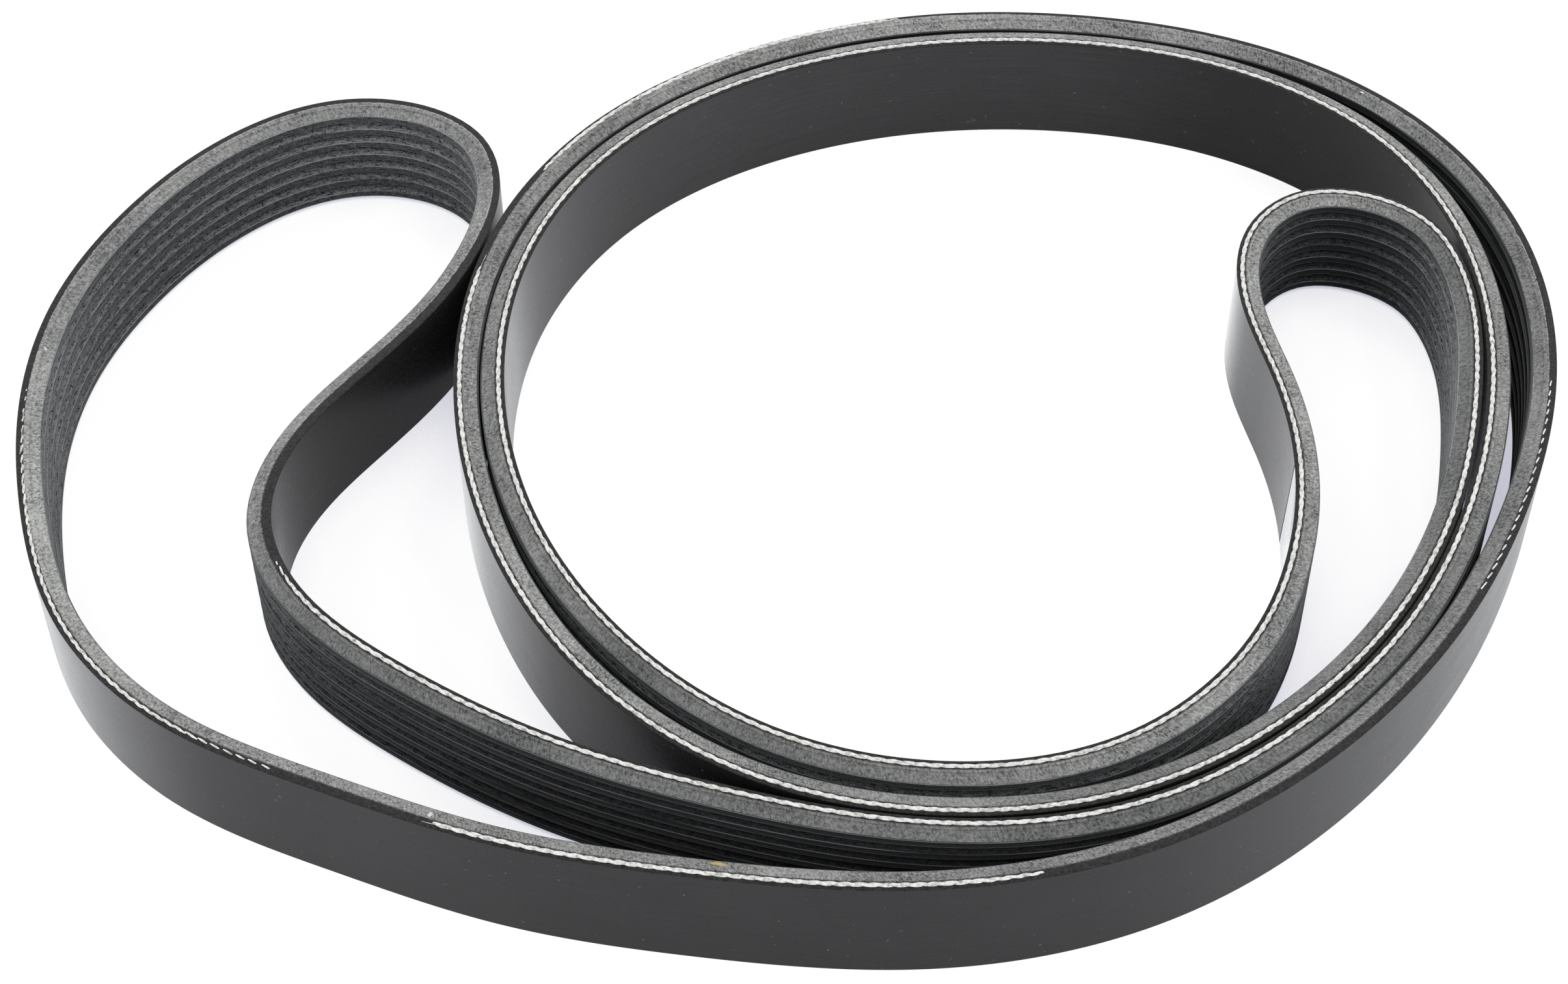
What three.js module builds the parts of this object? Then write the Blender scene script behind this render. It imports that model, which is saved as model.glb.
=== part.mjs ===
// Serpentine belt: one closed loop of moulded rubber with seven ribs, set down on its cut edge.
// The loop is wound into a round coil, with a large bight beside the coil and a small one inside it.
// Millimetres, +Z up. The belt stands on z = 0 with the middle of its bounding box over the origin.
import * as THREE from "three";

// Belt section, profile PK
const ribCount = 7;
const ribPitch = 3.56;
const ribFlankAngle = 20; // degrees from the rib's centre plane to each flank
const ribDepth = 2.2;
const grooveFloor = 0.5;
const beltThickness = 4.7; // from the smooth back to the rib tips

// The turn that all other turns lie against, followed by its back from the lower left
// (240 degrees) once round the coil. Radii are taken from the coil's centre.
const turnStartAngle = 240;
const turnStepAngle = 20;
const turnRadii = [
  110.6, 104.3, 99.4, 92.9, 88.5, 86.9, 89.5, 95.4, 100, 99,
  96.3, 96.1, 98.6, 101.7, 101.8, 99.7, 98.1, 97, 95.9,
];

// Clearances from that turn to the turn round it, rib tip to rib tip, station by station
const ribSideGaps = [
  10.8, 5.3, 1.5, 0.4, 0.5, 1.9, 3.8, 4.2, 2.5, 1,
  0.5, 0.8, 0.5, 0.5, 0.5, 0.4, 1.1, 2.7, 2.7,
];

// Clearances from the back of that turn to the back of the turn inside it, from the second
// station on, up to where the small bight leaves it
const backSideGaps = [0.4, 0.7, 0.4, 0.4, 0.4, 0.8, 0.9];

// Where the innermost end of the winding lies under the turn inside, rib tip to rib tip
const innerRibGaps = [2.2, 3.3];

// Back of the small bight inside the coil, from the coil's centre, anticlockwise from the right
const smallBight = [
  [84.7, 41.8], [72.5, 50.3], [59.1, 50.7], [48, 41.6], [44.3, 31.2], [44.5, 15.8],
  [47.8, 0.8], [49.9, -14.1], [49.5, -28.9], [46.5, -43.7], [40.6, -58.4], [27.4, -75.4],
];

// Back of the large bight, from the coil's outermost point at 160 degrees, where it leans on
// the coil: down the inner side first, then round the outside back to the front of the coil
const bightAnchorAngle = 160;
const largeBight = [
  [18.1, -122.4], [-10.8, -105.5], [-29.1, -88.9], [-36.3, -71.1], [-32.6, -53.2],
  [-19.7, -34], [-6.2, -13.9], [-0.8, -0.6], [1.7, 11.9], [-2.7, 30.4],
  [-17.4, 40.5], [-35.2, 41.2], [-56.4, 29.9], [-73.4, 9.6], [-84.4, -15.1],
  [-87.4, -39.6], [-83.7, -67.8], [-72.4, -97.8], [-52, -119.3], [-21.8, -134.4],
  [8.3, -145.7],
];

// Facets: stations along the belt, closer together where it bends more
const stationCount = 186;
const samplesPerSpan = 40;

const toRadians = THREE.MathUtils.degToRad;

/** Belt section as [height, depth from the back] points, anticlockwise round the rubber. */
function beltSection() {
  const width = ribCount * ribPitch;
  const rootDepth = beltThickness - ribDepth;
  const flankRise = ribDepth * Math.tan(toRadians(ribFlankAngle));
  const points = [[width, 0], [0, 0], [0, rootDepth]];
  for (let rib = 0; rib < ribCount; rib += 1) {
    const low = rib * ribPitch + grooveFloor / 2;
    const high = (rib + 1) * ribPitch - grooveFloor / 2;
    points.push([low, rootDepth], [low + flankRise, beltThickness]);
    points.push([high - flankRise, beltThickness], [high, rootDepth]);
  }
  points.push([width, rootDepth]);
  return points;
}

/** Stations of the guiding turn: the point on its back and the outward direction there. */
function turnStations() {
  const last = turnRadii.length - 1;
  return turnRadii.map((radius, index) => {
    const before = Math.max(index - 1, 0);
    const after = Math.min(index + 1, last);
    const slope = (turnRadii[after] - turnRadii[before]) / toRadians((after - before) * turnStepAngle);
    const angle = toRadians(turnStartAngle + index * turnStepAngle);
    const radial = new THREE.Vector2(Math.cos(angle), Math.sin(angle));
    const around = new THREE.Vector2(-radial.y, radial.x);
    const outward = radial.clone().multiplyScalar(radius).addScaledVector(around, -slope).normalize();
    return { point: radial.clone().multiplyScalar(radius), outward };
  });
}

/** The point that lies a distance outward from a station. */
function beside(station, distance) {
  return station.point.clone().addScaledVector(station.outward, distance);
}

/** Points on the belt's back, all the way round the closed loop. */
function routePoints() {
  const turn = turnStations();
  const outerTurn = turn.map((station, index) => beside(station, 2 * beltThickness + ribSideGaps[index]));
  const innerTurn = backSideGaps.map((gap, index) => beside(turn[index + 1], -gap));
  const innerEnd = innerRibGaps.map((gap, index) =>
    beside(turn[index + 1], -backSideGaps[index] - 2 * beltThickness - gap));
  const anchor = outerTurn[(bightAnchorAngle + 360 - turnStartAngle) / turnStepAngle];
  const large = largeBight.map(([x, y]) => new THREE.Vector2(x, y).add(anchor));
  const small = smallBight.map(([x, y]) => new THREE.Vector2(x, y));
  const inward = [...turn].reverse().map((station) => station.point);
  return [...innerEnd.reverse(), ...inward, ...large, ...outerTurn, ...innerTurn, ...small];
}

/** Slopes that make the closed cubic through the points smooth in bending as well. */
function smoothSlopes(points, spans) {
  const count = points.length;
  const slopes = points.map(() => new THREE.Vector2());
  const sweeps = 60;
  for (let sweep = 0; sweep < sweeps; sweep += 1) {
    for (let index = 0; index < count; index += 1) {
      const before = (index + count - 1) % count;
      const after = (index + 1) % count;
      const spanIn = spans[before];
      const spanOut = spans[index];
      const slope = new THREE.Vector2()
        .addScaledVector(points[index].clone().sub(points[before]), 3 / spanIn ** 2)
        .addScaledVector(points[after].clone().sub(points[index]), 3 / spanOut ** 2)
        .addScaledVector(slopes[before], -1 / spanIn)
        .addScaledVector(slopes[after], -1 / spanOut);
      slopes[index] = slope.divideScalar(2 / spanIn + 2 / spanOut);
    }
  }
  return slopes;
}

/** Dense samples of the closed curve: the point, its direction and how sharply it bends. */
function routeSamples(points) {
  const count = points.length;
  const spans = points.map((point, index) => point.distanceTo(points[(index + 1) % count]));
  const slopes = smoothSlopes(points, spans);
  const samples = [];
  for (let index = 0; index < count; index += 1) {
    const after = (index + 1) % count;
    const span = spans[index];
    const chord = points[after].clone().sub(points[index]);
    const bend = slopes[index].clone().multiplyScalar(-2).sub(slopes[after]).divideScalar(span)
      .addScaledVector(chord, 3 / span ** 2);
    const twist = slopes[index].clone().add(slopes[after]).divideScalar(span ** 2)
      .addScaledVector(chord, -2 / span ** 3);
    for (let step = 0; step < samplesPerSpan; step += 1) {
      const t = (span * step) / samplesPerSpan;
      const point = points[index].clone().addScaledVector(slopes[index], t)
        .addScaledVector(bend, t ** 2).addScaledVector(twist, t ** 3);
      const velocity = slopes[index].clone().addScaledVector(bend, 2 * t).addScaledVector(twist, 3 * t ** 2);
      const change = bend.clone().multiplyScalar(2).addScaledVector(twist, 6 * t);
      const curvature = Math.abs(velocity.cross(change)) / velocity.length() ** 3;
      samples.push({ point, direction: velocity.normalize(), curvature });
    }
  }
  return samples;
}

/** Picks stations from the samples, so that each chord strays from the curve by a like amount. */
function pickStations(samples) {
  const straightest = 1 / 300; // bend of the longest chords
  const effort = [0];
  samples.forEach((sample, index) => {
    const next = samples[(index + 1) % samples.length];
    const length = sample.point.distanceTo(next.point);
    effort.push(effort[index] + length * Math.sqrt(Math.max(sample.curvature, straightest)));
  });
  const stations = [];
  let index = 0;
  for (let station = 0; station < stationCount; station += 1) {
    const goal = (effort[samples.length] * station) / stationCount;
    while (effort[index + 1] <= goal) index += 1;
    stations.push(samples[index]);
  }
  return stations;
}

/** Closed solid: the section carried round the closed route, its depth to the left of travel. */
function beltGeometry() {
  const section = beltSection();
  const stations = pickStations(routeSamples(routePoints()));
  const positions = [];
  for (const { point, direction } of stations) {
    for (const [height, depth] of section) {
      positions.push(point.x - direction.y * depth, point.y + direction.x * depth, height);
    }
  }
  const faces = [];
  for (let station = 0; station < stations.length; station += 1) {
    const here = station * section.length;
    const there = ((station + 1) % stations.length) * section.length;
    for (let corner = 0; corner < section.length; corner += 1) {
      const next = (corner + 1) % section.length;
      faces.push(here + corner, here + next, there + next);
      faces.push(here + corner, there + next, there + corner);
    }
  }
  const geometry = new THREE.BufferGeometry();
  geometry.setAttribute("position", new THREE.Float32BufferAttribute(positions, 3));
  geometry.setIndex(faces);
  geometry.computeBoundingBox();
  const middle = geometry.boundingBox.getCenter(new THREE.Vector3());
  geometry.translate(-middle.x, -middle.y, 0);
  geometry.computeVertexNormals();
  return geometry;
}

const beltRubber = new THREE.MeshStandardMaterial({ color: 0x2c2d30, roughness: 0.82, metalness: 0 });

const belt = new THREE.Mesh(beltGeometry(), beltRubber);
belt.name = "ribbed_belt";

const part = new THREE.Group();
part.add(belt);

export default part;
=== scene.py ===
"""Serpentine belt: the looks of the part, built round its frame.

Scene units are metres, with +Z up. Sizes are named in millimetres, as the part's source has them,
and become metres where a mesh is made. The belt's route and section are the part's own, and this
script carries them round in finer steps, rounds the section's corners, lays the tension cord into
the upper cut edge and finishes every surface.
"""

import bisect
import logging
import math
from collections.abc import Callable
from dataclasses import dataclass, field
from enum import IntEnum
from typing import Any

import bmesh
import bpy
from mathutils import Matrix, Vector, noise

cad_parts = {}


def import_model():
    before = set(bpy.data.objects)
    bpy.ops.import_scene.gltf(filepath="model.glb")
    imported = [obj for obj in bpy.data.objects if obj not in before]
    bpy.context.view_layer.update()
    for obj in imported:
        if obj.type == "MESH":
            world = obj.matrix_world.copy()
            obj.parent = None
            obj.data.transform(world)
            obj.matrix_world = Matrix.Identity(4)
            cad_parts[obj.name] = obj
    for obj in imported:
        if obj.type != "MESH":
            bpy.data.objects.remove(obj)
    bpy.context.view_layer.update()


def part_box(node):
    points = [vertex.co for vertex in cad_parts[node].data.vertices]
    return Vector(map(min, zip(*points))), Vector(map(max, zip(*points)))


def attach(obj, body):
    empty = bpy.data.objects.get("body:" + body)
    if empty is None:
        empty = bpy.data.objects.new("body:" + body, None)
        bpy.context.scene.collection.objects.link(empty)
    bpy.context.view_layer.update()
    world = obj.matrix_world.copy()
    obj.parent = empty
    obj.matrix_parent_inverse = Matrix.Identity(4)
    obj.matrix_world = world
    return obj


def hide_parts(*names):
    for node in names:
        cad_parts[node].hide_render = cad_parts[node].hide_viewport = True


MM = 0.001
MERGE_DISTANCE = 0.001 * MM
log = logging.getLogger("serpentine_belt")

Pair = tuple[float, float]
Colour = tuple[float, float, float]
Socket = bpy.types.NodeSocket
Material = bpy.types.Material
Piece = bpy.types.Object
Shape = bmesh.types.BMesh
# Pairs of a route point's number, or a fraction between two of them, and the value there.
Stops = tuple[Pair, ...]
CUT_BLACK: Colour = (0.002, 0.002, 0.002)
SCUFF: Colour = (0.6, 0.6, 0.58)
STAIN: Colour = (0.43, 0.33, 0.1)
WHITE: Colour = (1.0, 1.0, 1.0)
NOISE_MEAN = 0.5


class Side(IntEnum):
    """Sides of the belt. The value is the material slot of that side's faces."""

    BACK = 0
    EDGE = 1
    RIBS = 2


@dataclass(frozen=True)
class SectionPoint:
    """A corner of the belt's section, in millimetres."""

    height: float
    depth: float
    side: Side
    rounding: float = 0.0


@dataclass(frozen=True)
class BeltSection:
    """Section of the belt, profile PK, in millimetres. Depth is measured from the smooth back."""

    rib_count: int = 7
    rib_pitch: float = 3.56
    flank_angle: float = 20.0
    rib_depth: float = 2.2
    groove_floor: float = 0.5
    thickness: float = 4.7
    back_corner: float = 0.16
    tip_corner: float = 0.42
    root_corner: float = 0.16

    @property
    def width(self) -> float:
        """Width of the belt, from cut edge to cut edge."""
        return self.rib_count * self.rib_pitch

    @property
    def root_depth(self) -> float:
        """Depth of the groove floors under the back."""
        return self.thickness - self.rib_depth

    def corners(self) -> list[SectionPoint]:
        """Lists the section's corners, anticlockwise round the rubber from the upper back corner.

        Returns:
            The corners, each with the side that starts there.
        """
        rise = self.rib_depth * math.tan(math.radians(self.flank_angle))
        root, tip = self.root_depth, self.thickness
        corners = [
            SectionPoint(self.width, 0.0, Side.BACK, self.back_corner),
            SectionPoint(0.0, 0.0, Side.EDGE, self.back_corner),
            SectionPoint(0.0, root, Side.EDGE),
        ]
        for rib in range(self.rib_count):
            low = rib * self.rib_pitch + self.groove_floor / 2
            high = low + self.rib_pitch - self.groove_floor
            first, last = rib == 0, rib == self.rib_count - 1
            side_before = Side.EDGE if first else Side.RIBS
            side_after = Side.EDGE if last else Side.RIBS
            corners += [
                SectionPoint(low, root, side_before, 0.0 if first else self.root_corner),
                SectionPoint(low + rise, tip, Side.RIBS, self.tip_corner),
                SectionPoint(high - rise, tip, side_after, self.tip_corner),
                SectionPoint(high, root, side_after, 0.0 if last else self.root_corner),
            ]
        corners.append(SectionPoint(self.width, root, Side.EDGE))
        return corners

    def outline(self, arc_steps: int = 2) -> list[SectionPoint]:
        """Rounds the corners of the section.

        Args:
            arc_steps: Steps along each rounded corner.

        Returns:
            The points of the rounded section, in the same order.
        """
        corners = self.corners()
        outline: list[SectionPoint] = []
        for index, corner in enumerate(corners):
            if corner.rounding == 0.0:
                outline.append(corner)
                continue
            here = Vector((corner.height, corner.depth))
            before, after = corners[index - 1], corners[(index + 1) % len(corners)]
            to_before = (Vector((before.height, before.depth)) - here).normalized()
            to_after = (Vector((after.height, after.depth)) - here).normalized()
            half_angle = to_before.angle(to_after) / 2
            start = here + to_before * (corner.rounding / math.tan(half_angle))
            bisector = (to_before + to_after).normalized()
            centre = here + bisector * (corner.rounding / math.sin(half_angle))
            spoke = start - centre
            turn = (math.pi - 2 * half_angle) * math.copysign(1.0, (-to_before).cross(to_after))
            for step in range(arc_steps + 1):
                point = centre + Matrix.Rotation(turn * step / arc_steps, 2) @ spoke
                side = corner.side if step == arc_steps else before.side
                outline.append(SectionPoint(point.x, point.y, side))
        return outline


@dataclass(frozen=True)
class Place:
    """A place on the belt's back: its point, the direction of travel and the way into the rubber."""

    point: Vector
    along: Vector

    @property
    def inward(self) -> Vector:
        """Direction from the back into the belt, to the left of travel."""
        return Vector((-self.along.y, self.along.x))

    def at(self, depth: float, height: float) -> Vector:
        """Gives the scene's point, in metres, at a depth under the back and a height in millimetres."""
        flat = self.point + self.inward * depth
        return Vector((flat.x, flat.y, height)) * MM


@dataclass(frozen=True)
class BeltRoute:
    """Line of the belt's back round the closed loop, in millimetres from the coil's centre."""

    thickness: float = 4.7
    turn_start_angle: float = 240.0
    turn_step_angle: float = 20.0
    turn_radii: tuple[float, ...] = (
        110.6, 104.3, 99.4, 92.9, 88.5, 86.9, 89.5, 95.4, 100, 99,
        96.3, 96.1, 98.6, 101.7, 101.8, 99.7, 98.1, 97, 95.9,
    )
    rib_side_gaps: tuple[float, ...] = (
        10.8, 5.3, 1.5, 0.4, 0.5, 1.9, 3.8, 4.2, 2.5, 1,
        0.5, 0.8, 0.5, 0.5, 0.5, 0.4, 1.1, 2.7, 2.7,
    )
    back_side_gaps: tuple[float, ...] = (0.4, 0.7, 0.4, 0.4, 0.4, 0.8, 0.9)
    inner_rib_gaps: tuple[float, ...] = (2.2, 3.3)
    small_bight: tuple[Pair, ...] = (
        (84.7, 41.8), (72.5, 50.3), (59.1, 50.7), (48, 41.6), (44.3, 31.2), (44.5, 15.8),
        (47.8, 0.8), (49.9, -14.1), (49.5, -28.9), (46.5, -43.7), (40.6, -58.4), (27.4, -75.4),
    )
    bight_anchor_angle: float = 160.0
    large_bight: tuple[Pair, ...] = (
        (18.1, -122.4), (-10.8, -105.5), (-29.1, -88.9), (-36.3, -71.1), (-32.6, -53.2),
        (-19.7, -34), (-6.2, -13.9), (-0.8, -0.6), (1.7, 11.9), (-2.7, 30.4),
        (-17.4, 40.5), (-35.2, 41.2), (-56.4, 29.9), (-73.4, 9.6), (-84.4, -15.1),
        (-87.4, -39.6), (-83.7, -67.8), (-72.4, -97.8), (-52, -119.3), (-21.8, -134.4),
        (8.3, -145.7),
    )
    steps_per_span: int = 40
    smoothing_sweeps: int = 60

    def turn_places(self) -> list[Place]:
        """Gives the guiding turn's points.

        Returns:
            One place for each radius, whose inward is away from the coil.
        """
        last = len(self.turn_radii) - 1
        places = []
        for index, radius in enumerate(self.turn_radii):
            before, after = max(index - 1, 0), min(index + 1, last)
            slope = self.turn_radii[after] - self.turn_radii[before]
            slope /= math.radians((after - before) * self.turn_step_angle)
            angle = math.radians(self.turn_start_angle + index * self.turn_step_angle)
            radial = Vector((math.cos(angle), math.sin(angle)))
            around = Vector((-radial.y, radial.x))
            outward = (radial * radius - around * slope).normalized()
            places.append(Place(radial * radius, Vector((outward.y, -outward.x))))
        return places

    def points(self) -> list[Vector]:
        """Lists the points on the back.

        Returns:
            The points that the closed curve passes through.
        """
        turn = self.turn_places()
        two_belts = 2 * self.thickness
        outer = [
            place.point + place.inward * (two_belts + gap)
            for place, gap in zip(turn, self.rib_side_gaps)
        ]
        inner = [place.point - place.inward * gap for place, gap in zip(turn[1:], self.back_side_gaps)]
        inner_end = [
            place.point - place.inward * (back_gap + two_belts + rib_gap)
            for place, back_gap, rib_gap in zip(turn[1:], self.back_side_gaps, self.inner_rib_gaps)
        ]
        past_start = (self.bight_anchor_angle - self.turn_start_angle) % 360
        anchor = outer[round(past_start / self.turn_step_angle)]
        large = [anchor + Vector(point) for point in self.large_bight]
        small = [Vector(point) for point in self.small_bight]
        guiding = [place.point for place in reversed(turn)]
        return [*reversed(inner_end), *guiding, *large, *outer, *inner, *small]

    def slopes(self, points: list[Vector], spans: list[float]) -> list[Vector]:
        """Finds the slopes that make the closed cubic smooth in bending as well.

        Args:
            points: The route's points.
            spans: Distance from each point to the next.

        Returns:
            The curve's slope at each point.
        """
        count = len(points)
        slopes = [Vector((0.0, 0.0)) for _ in points]
        for _ in range(self.smoothing_sweeps):
            for index in range(count):
                before, after = index - 1, (index + 1) % count
                span_in, span_out = spans[before], spans[index]
                slope = (points[index] - points[before]) * (3 / span_in**2)
                slope += (points[after] - points[index]) * (3 / span_out**2)
                slope -= slopes[before] / span_in + slopes[after] / span_out
                slopes[index] = slope / (2 / span_in + 2 / span_out)
        return slopes

    def places(self) -> list[Place]:
        """Samples the closed curve through the points.

        Returns:
            Places along the loop, with the same number between each two points.
        """
        points = self.points()
        count = len(points)
        spans = [(points[(index + 1) % count] - point).length for index, point in enumerate(points)]
        slopes = self.slopes(points, spans)
        places = []
        for index, span in enumerate(spans):
            after = (index + 1) % count
            chord = points[after] - points[index]
            bend = chord * (3 / span**2) - (slopes[index] * 2 + slopes[after]) / span
            twist = (slopes[index] + slopes[after]) / span**2 - chord * (2 / span**3)
            for step in range(self.steps_per_span):
                t = span * step / self.steps_per_span
                point = points[index] + slopes[index] * t + bend * t**2 + twist * t**3
                along = slopes[index] + bend * (2 * t) + twist * (3 * t**2)
                places.append(Place(point, along.normalized()))
        return places


def span_at(distances: list[float], distance: float) -> tuple[int, float]:
    """Finds the entry before a distance in a rising list, and its share of the way to the next."""
    index = min(bisect.bisect_right(distances, distance), len(distances) - 1) - 1
    return index, (distance - distances[index]) / (distances[index + 1] - distances[index])


class BeltLine:
    """The belt's back as a line that is measured by distance, in millimetres."""

    def __init__(self, route: BeltRoute, middle: Vector) -> None:
        """Measures a route.

        Args:
            route: The route of the belt's back.
            middle: Where the middle of the belt's box comes to lie, in millimetres.
        """
        places = route.places()
        self.steps_per_span = route.steps_per_span
        reach = [place.point for place in places]
        reach += [place.point + place.inward * route.thickness for place in places]
        lowest = Vector((min(point.x for point in reach), min(point.y for point in reach)))
        highest = Vector((max(point.x for point in reach), max(point.y for point in reach)))
        shift = middle - (lowest + highest) / 2
        self.places = [Place(place.point + shift, place.along) for place in places]
        self.places.append(self.places[0])
        self.distances = [0.0]
        for here, there in zip(self.places, self.places[1:]):
            self.distances.append(self.distances[-1] + (there.point - here.point).length)

    @property
    def length(self) -> float:
        """Length once round the belt's back."""
        return self.distances[-1]

    def distance_of(self, point_number: float) -> float:
        """Turns a place in the route's list of points into a distance along the belt.

        Args:
            point_number: Number of a route point, or a fraction between two of them.

        Returns:
            The distance from the route's first point.
        """
        step = point_number * self.steps_per_span
        whole = int(step)
        here = self.distances[whole]
        there = self.distances[min(whole + 1, len(self.distances) - 1)]
        return here + (there - here) * (step - whole)

    def place_at(self, distance: float) -> Place:
        """Finds the place at a distance along the belt.

        Args:
            distance: Distance from the route's first point, which may pass the loop's end.

        Returns:
            The place on the belt's back.
        """
        index, share = span_at(self.distances, distance % self.length)
        here, there = self.places[index], self.places[index + 1]
        along = here.along.lerp(there.along, share).normalized()
        return Place(here.point.lerp(there.point, share), along)


class Profile:
    """A value that changes along the belt, evenly from each stop to the next."""

    def __init__(self, line: BeltLine, stops: Stops) -> None:
        """Places the stops on the line.

        Args:
            line: The belt's back.
            stops: The stops in order, from the route's first point to its end.
        """
        self.length = line.length
        self.distances = [line.distance_of(number) for number, _ in stops]
        self.values = [value for _, value in stops]

    def at(self, distance: float) -> float:
        """Finds the value at a distance along the belt.

        Args:
            distance: Distance in millimetres, which may pass the loop's ends.

        Returns:
            The value there.
        """
        index, share = span_at(self.distances, distance % self.length)
        here, there = self.values[index : index + 2]
        return here + (there - here) * share

    def raised_runs(self) -> list[Pair]:
        """Finds the stretches where the value isn't 0, on a profile raised at both ends.

        Returns:
            Start and end of each stretch. The first starts before the loop's start.
        """
        runs: list[Pair] = []
        for index in range(1, len(self.distances)):
            if self.values[index - 1] == 0.0 and self.values[index] == 0.0:
                continue
            start, end = self.distances[index - 1], self.distances[index]
            if runs and runs[-1][1] == start:
                runs[-1] = (runs[-1][0], end)
            else:
                runs.append((start, end))
        last_start, last_end = runs.pop()
        runs[0] = (last_start - last_end, runs[0][1])
        return runs


@dataclass
class Sheet:
    """A grid that is laid on a shape: columns run along it and rows run across it."""

    columns: int
    rows: int
    place: Callable[[int, int], Vector]
    uv_maps: dict[str, Callable[[int, int], Pair]]
    slot_of_row: Callable[[int], int] = lambda row: 0

    def lay(self, target: Shape) -> None:
        """Joins the grid, with its points in their places, to a shape.

        Args:
            target: The shape that takes the faces.
        """
        grid = bmesh.new()
        bmesh.ops.create_grid(grid, x_segments=self.columns, y_segments=self.rows, size=0.5)
        cells = {
            vertex: (round((vertex.co.x + 0.5) * self.columns), round((vertex.co.y + 0.5) * self.rows))
            for vertex in grid.verts
        }
        layers = {name: grid.loops.layers.uv.new(name) for name in self.uv_maps}
        for face in grid.faces:
            face.smooth = True
            face.material_index = self.slot_of_row(min(cells[vertex][1] for vertex in face.verts))
            for loop in face.loops:
                for name, layer in layers.items():
                    loop[layer].uv = self.uv_maps[name](*cells[loop.vert])
        for vertex, cell in cells.items():
            vertex.co = self.place(*cell)
        scratch = bpy.data.meshes.new("sheet")
        grid.to_mesh(scratch)
        grid.free()
        target.from_mesh(scratch)
        bpy.data.meshes.remove(scratch)


def finished_piece(name: str, shape: Shape, materials: list[Material]) -> Piece:
    """Closes a shape, turns its faces outwards and puts it into the scene.

    Args:
        name: Name of the piece.
        shape: The shape, which is freed.
        materials: Materials in the order of the faces' slots.

    Returns:
        The new object, at the origin.
    """
    bmesh.ops.remove_doubles(shape, verts=shape.verts, dist=MERGE_DISTANCE)
    bmesh.ops.recalc_face_normals(shape, faces=shape.faces)
    mesh = bpy.data.meshes.new(name)
    shape.to_mesh(mesh)
    shape.free()
    for material in materials:
        mesh.materials.append(material)
    piece = bpy.data.objects.new(name, mesh)
    bpy.context.collection.objects.link(piece)
    return piece


@dataclass(frozen=True)
class Pattern:
    """A noise on a surface.

    Its scale is in cycles per metre, or per unit of coordinates that it is given. A pair is for the
    measures along the belt and across it. Its detail is the octaves of finer noise, each as strong
    as rough says. A finish names how much of a noise goes into its tone, wear, roughness and
    relief, and the levels between which a noise rises from 0 to 1.
    """

    scale: float | Pair
    detail: float
    rough: float


def operator(operation: str, swapped: bool = False) -> Callable[["Signal", Any], "Signal"]:
    """Makes a signal's operator.

    Args:
        operation: Operation of a Math node.
        swapped: Whether the signal is the operation's second value.

    Returns:
        The method that carries the operation out.
    """
    def carry_out(signal: "Signal", other: "Signal | float") -> "Signal":
        """Joins the signal and a number or another signal."""
        values = (other, signal) if swapped else (signal, other)
        return signal.math(operation, *values)

    return carry_out


@dataclass(frozen=True)
class Signal:
    """A number that varies over a surface: a shader socket that takes part in expressions."""

    graph: "Graph"
    socket: Socket

    def math(self, operation: str, *values: "Signal | float", clamp: bool = False) -> "Signal":
        """Adds a Math node of the given operation on the given values."""
        node = self.graph.node("Math", dict(enumerate(values)), operation=operation, use_clamp=clamp)
        return Signal(self.graph, node.outputs[0])

    __add__ = __radd__ = operator("ADD")
    __sub__ = operator("SUBTRACT")
    __rsub__ = operator("SUBTRACT", swapped=True)
    __mul__ = __rmul__ = operator("MULTIPLY")
    __truediv__ = operator("DIVIDE")

    def __abs__(self) -> "Signal":
        """Drops the sign."""
        return self.math("ABSOLUTE", self)

    def fraction(self) -> "Signal":
        """Returns how far it is past the whole number below it."""
        return self.math("FRACT", self)

    def limited(self) -> "Signal":
        """Keeps the signal between 0 and 1."""
        return self.math("ADD", self, 0.0, clamp=True)

    def step(self, low: float, high: float) -> "Signal":
        """Rises smoothly from 0 to 1 while this signal goes from low to high."""
        share = ((self - low) / (high - low)).limited()
        return share * share * (3 - 2 * share)


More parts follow.
